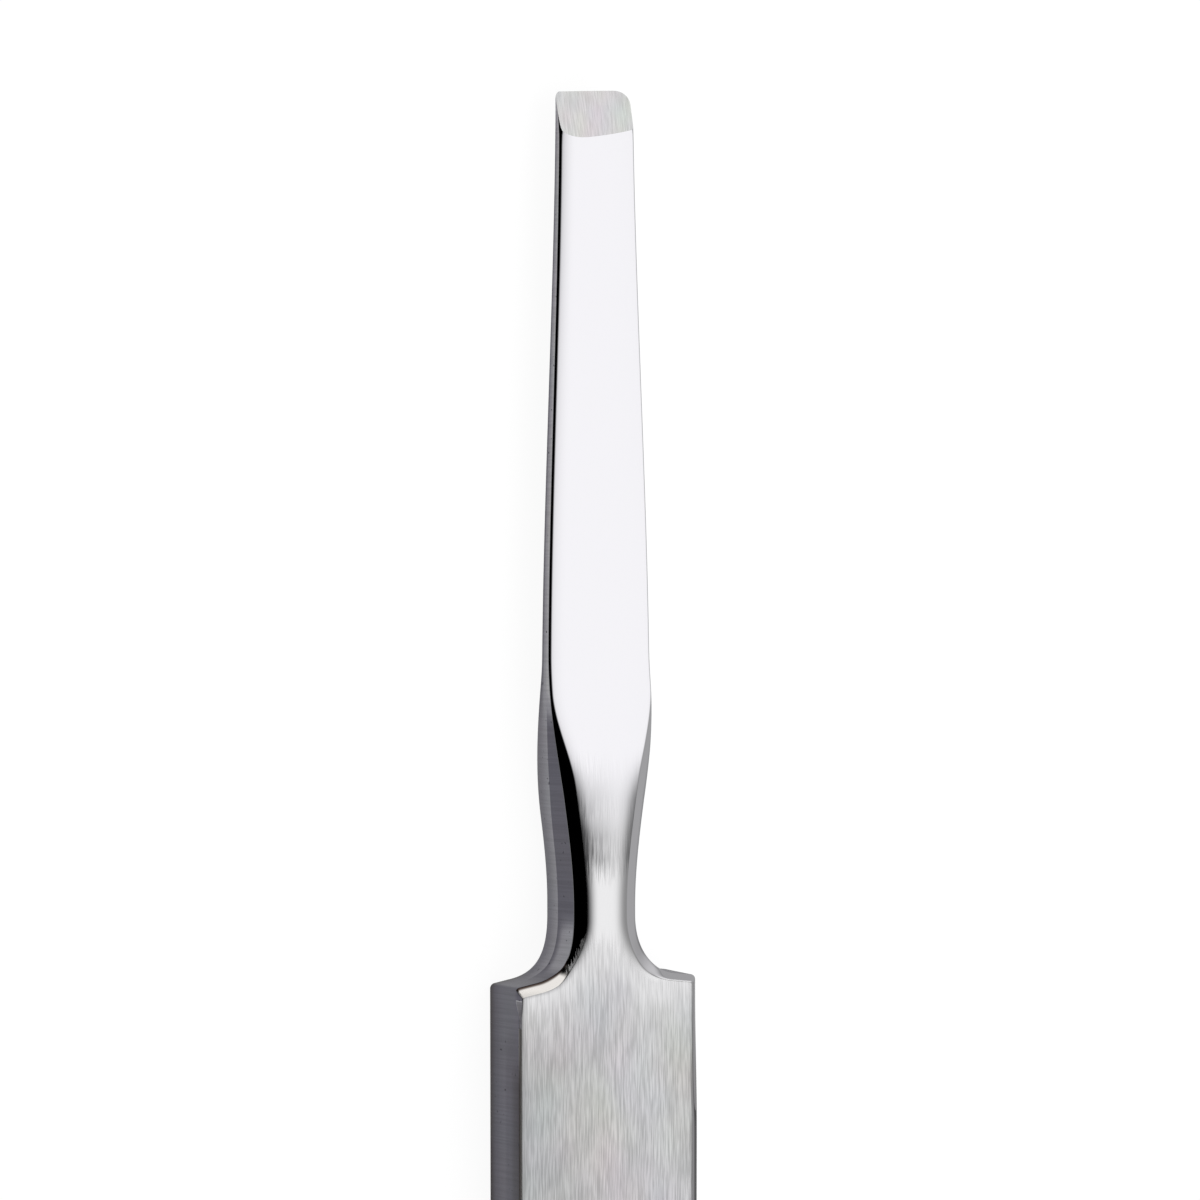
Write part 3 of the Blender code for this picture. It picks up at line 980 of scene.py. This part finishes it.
# Colour of the belt marks, and of the painted shade beside the left facet.
MARKS_AND_PAINTED_SHADE = (0.140, 0.140, 0.143)
SATIN_DARK = (0.350, 0.348, 0.352)
SATIN_LIGHT = (0.540, 0.537, 0.543)
MIRROR_ROUGH = 0.07
HAZY_ROUGH = 0.12
MARKS_ROUGHEN = 0.12
SATIN_ROUGH = 0.30
LINE_DEPTH = 0.005 * MM
BELT_LINES = {"Lines_per_mm": 19.0, "Length_in_mm": 1.3, "Broad_share": 0.08}
SATIN_TINT = {"size": 3.0, "strength": 0.13}
LINES_IN_POLISH = (0.90, 1.07)
PATCHES_PER_MM = 0.45
PATCH_LIGHT = (0.33, 0.67, 0.955, 1.02)
# Painted sheen: the satin is painted lighter towards the right.
PAINTED_SHEEN_TO_RIGHT = (-4.5, 1.0, 0.905, 1.07)

# %% Front: marks on the neck
MARKS_BEGIN = (37.5, 34.5, 0.0, 0.55)
MARKS_DEEPEN = (34.3, 33.0, 0.0, 0.45)
MARKS_END = (30.8, 32.3)
MARKS_ACROSS = (0.9, -1.5, 0.25, 1.0)
MARKS_BESIDE_FACET = (0.60, 0.0, 0.0, 0.8)
MARKS_TORN = (0.10, 0.90, 0.60, 1.00)
MARKS_SHIFT = 1.0


def neck_marks(tree, x, y, inside, streaks):
    """Belt marks at the top of the neck, stronger towards its left."""
    y = math(tree, "MULTIPLY_ADD", streaks, MARKS_SHIFT, y)
    begin = ramp(tree, y, *MARKS_BEGIN)
    band = math(tree, "ADD", begin, ramp(tree, y, *MARKS_DEEPEN))
    band = times(tree, band, ramp(tree, x, *MARKS_ACROSS))
    beside = ramp(tree, inside, *MARKS_BESIDE_FACET)
    band = math(tree, "MULTIPLY_ADD", beside, begin, band)
    return times(tree, band, ramp(tree, y, *MARKS_END), ramp(tree, streaks, *MARKS_TORN))


# %% Front: where the satin begins
BELT_MIDDLE = (-0.5, 27.4)
BELT_RIGHT = (2.6, 25.4)
BELT_LEFT = (-3.4, 25.4)
BELT_SHIFT = 0.5
LEFT_HALF = (0.3, -0.5)
RIM = (0.12, 0.60)
RIM_THINNER_LEFT = 0.45
RIM_ENDS = (25.4, 25.0)
LINES_BEGIN = (-1.1, 0.2)
DULL_FIRST = (0.0, 2.0, 0.0, 0.52)
DULL_LATER = (0.5, 4.9, 0.0, 0.48)


def below_roof(tree, x, y, streaks):
    """How far a point lies below the ragged line where the belt lines begin."""
    right = ramp(tree, x, BELT_MIDDLE[0], BELT_RIGHT[0], BELT_MIDDLE[1], BELT_RIGHT[1])
    left = ramp(tree, x, BELT_LEFT[0], BELT_MIDDLE[0], BELT_LEFT[1], BELT_MIDDLE[1])
    roof = math(tree, "MINIMUM", right, left)
    return math(tree, "SUBTRACT", roof, math(tree, "MULTIPLY_ADD", streaks, BELT_SHIFT, y))


def satin_masks(tree, x, y, inside, streaks):
    """Where the belt's lines are, and how dull the steel is."""
    below = below_roof(tree, x, y, streaks)
    in_from_edge = math(tree, "MULTIPLY_ADD", ramp(tree, x, *LEFT_HALF), RIM_THINNER_LEFT, inside)
    off_rim = math(tree, "MAXIMUM", ramp(tree, in_from_edge, *RIM), ramp(tree, y, *RIM_ENDS))
    lined = times(tree, ramp(tree, below, *LINES_BEGIN), off_rim)
    dull = math(tree, "ADD", ramp(tree, below, *DULL_FIRST), ramp(tree, below, *DULL_LATER))
    return lined, times(tree, dull, off_rim)


# %% Front: haze on the neck, and painted shade beside the left facet
HAZE = (36.2, 31.0)
SHADE_INSIDE = (-0.15, 0.40, 0.55, 0.0)
SHADE_STARTS = (-0.12, 0.0)
SHADE_FROM = (27.4, 26.2)


def left_shade(tree, x, y, inside):
    """Painted shade inside the left facet of the shoulder and along the handle."""
    across = ramp(tree, inside, *SHADE_INSIDE)
    across = times(tree, across, ramp(tree, inside, *SHADE_STARTS))
    along = times(tree, ramp(tree, x, *LEFT_HALF), ramp(tree, y, *SHADE_FROM))
    return times(tree, across, along)


def front_colour(tree, place, x, streaks, masks):
    """Mirror, haze, marks, satin, painted sheen and painted shade, laid over each other."""
    marks, lined, dull, haze, shade = masks
    polished = mix(tree, haze, MIRROR, HAZY)
    polished = mix(tree, marks, polished, MARKS_AND_PAINTED_SHADE)
    on_lines = ramp(tree, streaks, 0.0, 1.0, *LINES_IN_POLISH)
    on_lines = mix(tree, lined, WHITE, joined(tree, on_lines, on_lines, on_lines))
    polished = mix(tree, 1.0, polished, on_lines, "MULTIPLY")
    satin = mix(tree, streaks, SATIN_DARK, SATIN_LIGHT)
    satin = tinted(tree, satin, place, **SATIN_TINT)
    patches = ramp(tree, noise(tree, place, PATCHES_PER_MM, detail=1.0), *PATCH_LIGHT)
    # Painted sheen towards the right, times the random patches.
    sheen_and_patches = times(tree, ramp(tree, x, *PAINTED_SHEEN_TO_RIGHT), patches)
    colour = mix(tree, dull, polished, dimmed(tree, satin, sheen_and_patches))
    # Painted shade beside the left facet.
    return mix(tree, shade, colour, MARKS_AND_PAINTED_SHADE)


# %% Front material
def front_steel():
    material, tree, place = new_steel("front_steel")
    x, y, _ = apart(tree, place)
    inside = carried(tree, "inside")
    belt = use_group(tree, SCRATCHES, Place=place, **BELT_LINES)
    streaks = belt["Streaks"]
    marks = neck_marks(tree, x, y, inside, streaks)
    lined, dull = satin_masks(tree, x, y, inside, streaks)
    haze = ramp(tree, y, *HAZE)
    masks = (marks, lined, dull, haze, left_shade(tree, x, y, inside))
    colour = front_colour(tree, place, x, streaks, masks)
    rough = ramp(tree, haze, 0.0, 1.0, MIRROR_ROUGH, HAZY_ROUGH)
    rough = math(tree, "MULTIPLY_ADD", marks, MARKS_ROUGHEN, rough)
    rough = mix_value(tree, lined, rough, SATIN_ROUGH)
    return finished(material, colour, rough, times(tree, belt["Height"], lined), LINE_DEPTH)


# %% [markdown]
# The facets beside the neck are the brightest polish on the tool: on the left one
# the dark side of the room stands as a black band. Where it runs into the
# shoulder the belt has just touched its inner edge, and the black breaks up into
# specks and short lines. The shoulder's own facet is warmer, and it is dulled
# where it turns the corner.

# %% Facet material
# Colour of the painted dark reflection above the left shoulder's facet, and of painted shade on the
# sides.
PAINTED_DARK_COLOUR = (0.050, 0.035, 0.030)
FACET_MIRROR = (0.740, 0.733, 0.758)
CREAM = (0.575, 0.553, 0.530)
CREAM_FROM = (26.9, 26.3)
LEFT_FACET = (0.2, -0.2)
STROKES = {"Lines_per_mm": 16.0, "Length_in_mm": 0.5, "Broad_share": 0.1}
STROKE_DEPTH = 0.03
SPECKS_FROM = (28.3, 27.2)
SPECKS_TO = (25.7, 26.3)
SPECKS_WIDE = (-0.34, -0.02)
SPECKS_SHOW = (1.02, 1.22)
PAINTED_DARK_TONES = (0.0, -0.8)
DULLED_FROM = (25.4, 24.8)
FACET_ROUGH = 0.05
DULLED_ROUGHER = 0.32


def speck_mask(tree, x, y, strokes):
    """Specks at the inner edge of the left facet, where it meets the shoulder."""
    along = times(tree, ramp(tree, y, *SPECKS_FROM), ramp(tree, y, *SPECKS_TO))
    near = ramp(tree, carried(tree, "inside"), *SPECKS_WIDE)
    zone = times(tree, along, near, ramp(tree, x, *LEFT_FACET))
    return ramp(tree, math(tree, "ADD", strokes, zone), *SPECKS_SHOW)


def facet_steel():
    material, tree, place = new_steel("facet_steel")
    x, y, _ = apart(tree, place)
    strokes = use_group(tree, SCRATCHES, Place=place, **STROKES)
    specks = speck_mask(tree, x, y, strokes["Streaks"])
    left = ramp(tree, x, *LEFT_FACET)
    cream = times(tree, ramp(tree, y, *CREAM_FROM), left)
    colour = mix(tree, cream, FACET_MIRROR, CREAM)
    colour = mix(tree, specks, colour, SATIN_LIGHT)
    # Painted dark reflection along the dark line, and painted shade on the right edge of the
    # handle.
    colour = mix(tree, ramp(tree, carried(tree, "painted_sheen_and_dulling"), *PAINTED_DARK_TONES), colour, PAINTED_DARK_COLOUR)
    dulled = math(tree, "MAXIMUM", specks, times(tree, ramp(tree, y, *DULLED_FROM), left))
    rough = math(tree, "MULTIPLY_ADD", dulled, DULLED_ROUGHER, FACET_ROUGH)
    height = times(tree, strokes["Height"], STROKE_DEPTH)
    return finished(material, colour, rough, height, LINE_DEPTH)


# %% [markdown]
# ## The sides, the back and the bevel
#
# The sides were ground across, so their lines stand upright, a little slanted,
# and they are darker, duller and a little violet. Their brightness is painted: the
# mesh's painted sheen and dulling lays one colour over the other, and each row of
# the table gives the values between which a colour comes in. The rows are painted
# sheen, painted glow, the dulled strip's own colour, and painted dark reflection
# and shade. The bevel is ground lengthwise and then left alone, so it is satin with
# fine lines. The back has the belt finish of the front all over.

# %% Side material
SIDE_PLAIN = (0.234, 0.226, 0.272)
# Rows from 0 and from 1.1 are painted sheen and glow, the row from 2.2 is the dulled strip, the row
# to -1 is painted dark reflection and shade.
SIDE_COLOURS = (
    (0.0, 1.0, (0.560, 0.548, 0.600)),
    (1.1, 1.9, (0.740, 0.728, 0.755)),
    (2.2, 2.8, (0.440, 0.430, 0.460)),
    (0.0, -1.0, PAINTED_DARK_COLOUR),
)
SIDE_LINES = {"Lines_per_mm": 9.0, "Length_in_mm": 8.0, "Broad_share": 0.3}
SIDE_STREAKS = (0.92, 1.08)
SIDE_SLANT = 0.10
SIDE_TINT = {"size": 2.5, "strength": 0.08}
SPOT_COLOUR = (0.08, 0.08, 0.10)
SPOTS_PER_MM = 4.0
SPOTS_SHOW = (0.735, 0.76)
DULLED_TONES = (2.4, CORNER_TONE)
SIDE_ROUGHNESS = (0.24, 0.55)


def side_steel():
    material, tree, place = new_steel("side_steel")
    x, y, z = apart(tree, place)
    upright = joined(tree, math(tree, "MULTIPLY_ADD", z, -SIDE_SLANT, y), z, x)
    lines = use_group(tree, SCRATCHES, Place=upright, **SIDE_LINES)
    painted_sheen_and_dulling = carried(tree, "painted_sheen_and_dulling")
    colour = SIDE_PLAIN
    for low, high, comes_in in SIDE_COLOURS:
        colour = mix(tree, ramp(tree, painted_sheen_and_dulling, low, high), colour, comes_in)
    colour = dimmed(tree, colour, ramp(tree, lines["Streaks"], 0.0, 1.0, *SIDE_STREAKS))
    colour = tinted(tree, colour, place, **SIDE_TINT)
    spots = ramp(tree, noise(tree, place, SPOTS_PER_MM, detail=1.0), *SPOTS_SHOW)
    colour = mix(tree, spots, colour, SPOT_COLOUR)
    rough = ramp(tree, painted_sheen_and_dulling, *DULLED_TONES, *SIDE_ROUGHNESS)
    return finished(material, colour, rough, lines["Height"], LINE_DEPTH / 4)


# %% Back and bevel materials
BACK_LOOK = {
    "dark": SATIN_DARK, "light": SATIN_LIGHT,
    "rough": SATIN_ROUGH, "per_mm": 15.0, "tint": 0.09,
}
BEVEL_LOOK = {
    "dark": (0.555, 0.55, 0.55), "light": (0.70, 0.695, 0.695),
    "rough": 0.24, "per_mm": 17.0, "tint": 0.14,
}
BRUSH_STROKES = {"Length_in_mm": 1.0, "Broad_share": 0.12}
BRUSH_TINT_SIZE = 1.3


def plain_brushed(name, dark, light, rough, per_mm, tint):
    material, tree, place = new_steel(name)
    lines = use_group(tree, SCRATCHES, Place=place, Lines_per_mm=per_mm, **BRUSH_STROKES)
    colour = mix(tree, lines["Streaks"], dark, light)
    colour = tinted(tree, colour, place, BRUSH_TINT_SIZE, tint)
    return finished(material, colour, rough, lines["Height"], LINE_DEPTH / 2)


finishes = {
    BACK: plain_brushed("back_steel", **BACK_LOOK),
    SIDE: side_steel(),
    FACET: facet_steel(),
    FRONT: front_steel(),
    BEVEL: plain_brushed("bevel_steel", **BEVEL_LOOK),
}
for index in sorted(finishes):
    data.materials.append(finishes[index])
print("finishes:", [m.name for m in data.materials])

# %% [markdown]
# ## The table
#
# The table is a plain pale sheet. What the camera and the steel see of it is
# lifted to white by a little light of its own, and its own colour still takes the
# tool's shadow. It lies a hair below the tool, so that the two never share a
# plane.

# %% Floor
FLOOR_COLOUR = (0.16, 0.16, 0.16)
FLOOR_SEEN = 0.92
FLOOR_MIRRORED = 0.345
FLOOR_SIZE = 2.4
FLOOR_GAP = 0.02 * MM


def floor_material():
    material = bpy.data.materials.new("floor_sheet")
    material.use_nodes = True
    tree = material.node_tree
    tree.nodes.clear()
    sheet = add(tree, "ShaderNodeBsdfDiffuse")
    feed(tree, sheet.inputs["Color"], FLOOR_COLOUR)
    path = add(tree, "ShaderNodeLightPath").outputs
    seen = times(tree, path["Is Camera Ray"], FLOOR_SEEN)
    mirrored = math(tree, "MAXIMUM", path["Is Glossy Ray"], path["Is Transmission Ray"])
    mirrored = times(tree, mirrored, FLOOR_MIRRORED)
    glow = add(tree, "ShaderNodeEmission")
    feed(tree, glow.inputs["Strength"], math(tree, "ADD", seen, mirrored))
    both = add(tree, "ShaderNodeAddShader")
    feed(tree, both.inputs[0], sheet.outputs[0])
    feed(tree, both.inputs[1], glow.outputs[0])
    feed(tree, add(tree, "ShaderNodeOutputMaterial").inputs["Surface"], both.outputs[0])
    arrange(tree)
    return material


half = FLOOR_SIZE / 2
sheet_data = bpy.data.meshes.new("floor")
corners = [(-half, -half, 0.0), (half, -half, 0.0), (half, half, 0.0), (-half, half, 0.0)]
sheet_data.from_pydata(corners, [], [(0, 1, 2, 3)])
sheet_data.materials.append(floor_material())
floor = bpy.data.objects.new("floor", sheet_data)
floor.location.z = -FLOOR_GAP
bpy.context.scene.collection.objects.link(floor)
print("floor, m:", [round(size, 2) for size in floor.dimensions])

# %% [markdown]
# ## The studio
#
# Polished steel shows what stands around it, so the studio is drawn as a dome of
# soft panels. Each has a lean and a reach. A lean of 0 is straight up, positive
# angles lean to the right of the tool and negative ones to its left, where the
# camera stands. The reach runs from -1, beyond the handle's end, to 1, beyond the
# cutting edge.
#
# The key panel hangs over the right and lights the blade and the neck. The tip
# panel stands beyond the cutting edge, for the bevel and the hollow arcs, and its
# left neighbour gives the left shoulder's facet its bright upper end. Weak panels
# low on both sides, and one beyond the handle's end, keep the steel from going
# black when it is seen from there. The camera's own side stays dark, which draws
# the black facet along the left edge.

# %% Node group: soft panel
def panel_group():
    """The light of one panel: full inside, with a soft edge all round."""
    inputs = {"Lean": VALUE, "Reach": VALUE}
    for way in ("Lean", "Reach"):
        inputs.update({f"{way} {place}": VALUE for place in ("from", "full", "fades", "to")})
    group, given, result = new_group("soft_panel", {**inputs, "Strength": VALUE}, {"Light": VALUE})
    shares = []
    for way in ("Lean", "Reach"):
        rise = ramp(group, given[way], given[f"{way} from"], given[f"{way} full"])
        fall = ramp(group, given[way], given[f"{way} fades"], given[f"{way} to"], 1.0, 0.0)
        shares.append(times(group, rise, fall))
    feed(group, result["Light"], times(group, *shares, given["Strength"]))
    arrange(group)
    return group


SOFT_PANEL = panel_group()
print("node group:", SOFT_PANEL.name, len(SOFT_PANEL.interface.items_tree), "sockets")

# %% World
PANELS = {
    # lean from, full, fades, to; reach from, full, fades, to; strength
    "key": (-15, 18, 26, 72, -0.75, -0.45, 0.36, 0.70, 1.30),
    "right": (44, 78, 78, 94, -1.2, -1.1, 1.1, 1.2, 0.46),
    "far_right": (50, 70, 95, 110, 0.15, 0.5, 1.1, 1.2, 0.25),
    "tip": (-44, -14, 60, 80, 0.56, 0.74, 1.1, 1.2, 1.42),
    "tip_left": (-64, -48, -44, -14, 0.60, 0.73, 1.1, 1.2, 1.42),
    "left_low": (-104, -84, -68, -50, -1.2, -1.1, 1.1, 1.2, 0.26),
    "handle_end": (-80, -50, 50, 80, -1.2, -1.1, -0.72, -0.50, 1.25),
}


def all_panels(tree):
    """The light of all panels in the direction that a ray looks."""
    x, reach, z = apart(tree, add(tree, "ShaderNodeTexCoord").outputs["Generated"])
    lean = times(tree, math(tree, "ARCTAN2", x, z), degrees(1.0))
    total = 0.0
    for name, values in PANELS.items():
        node = add(tree, "ShaderNodeGroup", node_tree=SOFT_PANEL, label=name)
        for socket, value in zip(node.inputs, (lean, reach, *values)):
            feed(tree, socket, value)
        total = math(tree, "ADD", node.outputs[0], total)
    return total


def studio():
    world = bpy.data.worlds.new("studio")
    world.use_nodes = True
    tree = world.node_tree
    tree.nodes.clear()
    to_camera = add(tree, "ShaderNodeLightPath").outputs["Is Camera Ray"]
    back = add(tree, "ShaderNodeBackground")
    feed(tree, back.inputs["Color"], WHITE)
    feed(tree, back.inputs["Strength"], mix_value(tree, to_camera, all_panels(tree), 1.0))
    feed(tree, add(tree, "ShaderNodeOutputWorld").inputs["Surface"], back.outputs[0])
    arrange(tree)
    return world


bpy.context.scene.world = studio()
print("panels:", ", ".join(PANELS))

# %% [markdown]
# ## The camera
#
# The photograph looks down on the tool from its left, turned 26 degrees off the
# front's normal, from just beyond the cutting edge. The lens is long, because the
# two long edges of the handle stay almost parallel.

# %% Camera
CAMERA_TURN = radians(26.0)
CAMERA_RISE = radians(1.5)
CAMERA_DISTANCE = 300.0 * MM
CAMERA_RIGHT = 0.341 * MM
CAMERA_DOWN = 0.121 * MM
AIM_BELOW_TIP = 25.4 * MM
TIP_HEIGHT = 1.8 * MM
FOCAL_LENGTH = 180.0
SENSOR_WIDTH = 36.0

tip = Vector((-OFF_CENTRE, TOTAL_LENGTH / 2, TIP_HEIGHT))
aim = tip - Vector((0.0, AIM_BELOW_TIP, 0.0))
to_camera = Vector((-sin(CAMERA_TURN), tan(CAMERA_RISE), cos(CAMERA_TURN)))
place = tip + to_camera * CAMERA_DISTANCE
looking = (aim - place).normalized()
right = Vector((cos(CAMERA_TURN), 0.0, sin(CAMERA_TURN)))
up = right.cross(looking).normalized()
right = looking.cross(up)
place += right * CAMERA_RIGHT - up * CAMERA_DOWN

camera_data = bpy.data.cameras.new("camera")
camera_data.lens = FOCAL_LENGTH
camera_data.sensor_width = SENSOR_WIDTH
camera_data.clip_start = 0.01
camera = bpy.data.objects.new("camera", camera_data)
turned = Matrix((right, up, -looking)).transposed()
camera.matrix_world = Matrix.Translation(place) @ turned.to_4x4()
bpy.context.scene.collection.objects.link(camera)
bpy.context.scene.camera = camera
bpy.context.scene.view_settings.view_transform = "Standard"
print("camera, mm:", [round(v / MM, 1) for v in place])
